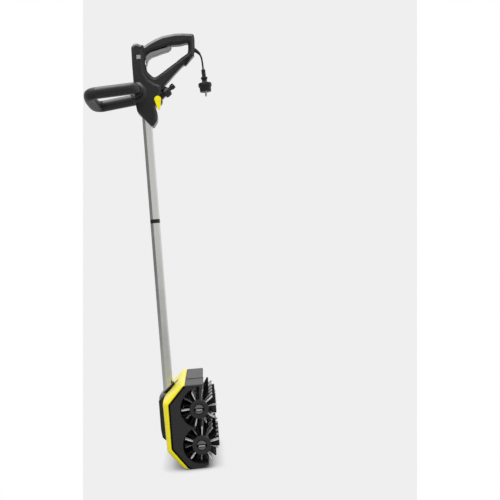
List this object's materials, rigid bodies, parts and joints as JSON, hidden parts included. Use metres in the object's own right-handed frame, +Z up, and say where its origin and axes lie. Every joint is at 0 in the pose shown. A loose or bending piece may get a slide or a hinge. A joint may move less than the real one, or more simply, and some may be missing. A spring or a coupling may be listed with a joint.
{
  "type": "electric patio cleaner",
  "caption": "Upright electric patio cleaner with counter-rotating roller brushes in a crowned head, tilting stick, D-shaped trigger handle, loop handle and water inlet.",
  "frame": {"origin": "middle of the standing face under the head, where the machine stands parked", "axes": "+Z up along the stick, +X towards the brushes, +Y towards the gear case on the drive side"},
  "size_m": [0.3229, 0.3234, 1.068],
  "materials": {
    "yellow_shell": "smooth gloss",
    "yellow_lever": "smooth gloss",
    "dark_shell": "fine satin grain",
    "casing": "fine satin grain",
    "soft_grip": "soft matte",
    "grey_keys": "satin",
    "tube": "brushed and anodised",
    "joint_metal": "smooth silver",
    "steel": "plain",
    "motor_can": "satin",
    "cradle": "plain",
    "gears": "natural nylon",
    "core": "satin",
    "black_bristle": "bristle",
    "grey_bristle": "bristle",
    "cord": "smooth",
    "pins": "nickel plated"
  },
  "bodies": {
    "head": {"head_cover": "yellow_shell", "brush_housing": "dark_shell", "near_side_panel": "dark_shell", "gear_case": "dark_shell", "gear_case_lid": "dark_shell", "upper_bearing": "steel", "lower_bearing": "steel", "gear_axles": "steel", "motor": "motor_can", "motor_cradle_near": "cradle", "motor_cradle_far": "cradle", "spray_bar": "cradle", "joint_housing": "dark_shell", "joint_pin": "steel", "head_hose": "cord", "head_cable": "cord", "lid_screws": "steel"},
    "stick": {"knuckle": "joint_metal", "lower_tube": "tube", "upper_tube": "tube", "tube_joiner": "casing", "near_handle_shell": "casing", "far_handle_shell": "casing", "casing_screws": "steel", "trigger_pin": "steel", "microswitch": "casing", "valve_body": "casing", "inlet_nut": "casing", "inlet_nipple": "casing", "cable_hook": "casing", "loop_bolt": "steel", "lead": "cord", "inner_hose": "cord", "motor_cable": "cord", "supply_cable": "cord", "lead_gland": "cord", "plug_body": "cord", "plug_pins": "pins"},
    "loop": {"loop_arms": "casing", "loop_grip": "soft_grip"},
    "trigger": {"trigger": "grey_keys"},
    "lock_button": {"lock_button": "grey_keys"},
    "valve_lever": {"valve_lever": "yellow_lever"},
    "upper_brush": {"upper_roller_core": "core", "upper_black_tufts": "black_bristle", "upper_grey_tufts": "grey_bristle", "upper_shaft": "steel", "upper_roller_gear": "gears"},
    "lower_brush": {"lower_roller_core": "core", "lower_black_tufts": "black_bristle", "lower_grey_tufts": "grey_bristle", "lower_shaft": "steel", "lower_roller_gear": "gears"},
    "upper_knob": {"upper_knob": "grey_keys"},
    "lower_knob": {"lower_knob": "grey_keys"},
    "upper_idler": {"upper_idler_gear": "gears"},
    "lower_idler": {"lower_idler_gear": "gears"},
    "reduction": {"reduction_gear": "gears"},
    "pinion": {"motor_pinion": "steel"}
  },
  "joints": [
    {"name": "stick_tilt", "type": "hinge", "parent": "head", "child": "stick", "pos_m": [-0.046, 0, 0.15], "axis": [0, -1, 0], "range_deg": [0, 75]},
    {"name": "loop_tilt", "type": "hinge", "parent": "stick", "child": "loop", "pos_m": [-0.061, 0, 0.924], "axis": [0, 1, 0], "range_deg": [-30, 30]},
    {"name": "trigger_pull", "type": "hinge", "parent": "stick", "child": "trigger", "pos_m": [0.02893, 0, 1.04638], "axis": [0, 1, 0], "range_deg": [0, 4], "stiffness_Nm_per_rad": 3, "springref_deg": -5.73},
    {"name": "button_press", "type": "slide", "parent": "stick", "child": "lock_button", "axis": [0, 1, 0], "range_m": [0, 0.003], "stiffness_N_per_m": 400, "springref_m": -0.002},
    {"name": "valve_turn", "type": "hinge", "parent": "stick", "child": "valve_lever", "pos_m": [-0.008, 0, 0.90309], "axis": [0, -1, 0], "range_deg": [0, 90]},
    {"name": "upper_brush_spin", "type": "hinge", "parent": "head", "child": "upper_brush", "pos_m": [0.037, 0, 0.139], "axis": [0, 1, 0], "continuous": true},
    {"name": "lower_brush_spin", "type": "hinge", "parent": "head", "child": "lower_brush", "pos_m": [0.037, 0, 0.054], "axis": [0, 1, 0], "continuous": true},
    {"name": "upper_idler_spin", "type": "hinge", "parent": "head", "child": "upper_idler", "pos_m": [0.02501, 0, 0.1115], "axis": [0, 1, 0], "continuous": true},
    {"name": "lower_idler_spin", "type": "hinge", "parent": "head", "child": "lower_idler", "pos_m": [0.02501, 0, 0.0815], "axis": [0, 1, 0], "continuous": true},
    {"name": "reduction_spin", "type": "hinge", "parent": "head", "child": "reduction", "pos_m": [-0.0066, 0, 0.12098], "axis": [0, 1, 0], "continuous": true},
    {"name": "pinion_spin", "type": "hinge", "parent": "head", "child": "pinion", "pos_m": [-0.018, 0, 0.0965], "axis": [0, 1, 0], "continuous": true},
    {"name": "upper_knob_turn", "type": "hinge", "parent": "upper_brush", "child": "upper_knob", "pos_m": [0.037, 0, 0.139], "axis": [0, 1, 0], "range_deg": [0, 90]},
    {"name": "lower_knob_turn", "type": "hinge", "parent": "lower_brush", "child": "lower_knob", "pos_m": [0.037, 0, 0.054], "axis": [0, 1, 0], "range_deg": [0, 90]}
  ],
  "couplings": [
    {"joint": "lower_brush_spin", "follows": "upper_brush_spin", "ratio": -1},
    {"joint": "upper_idler_spin", "follows": "upper_brush_spin", "ratio": -1},
    {"joint": "lower_idler_spin", "follows": "upper_brush_spin", "ratio": 1},
    {"joint": "reduction_spin", "follows": "upper_brush_spin", "ratio": 0.83333},
    {"joint": "pinion_spin", "follows": "upper_brush_spin", "ratio": -1.6667}
  ]
}
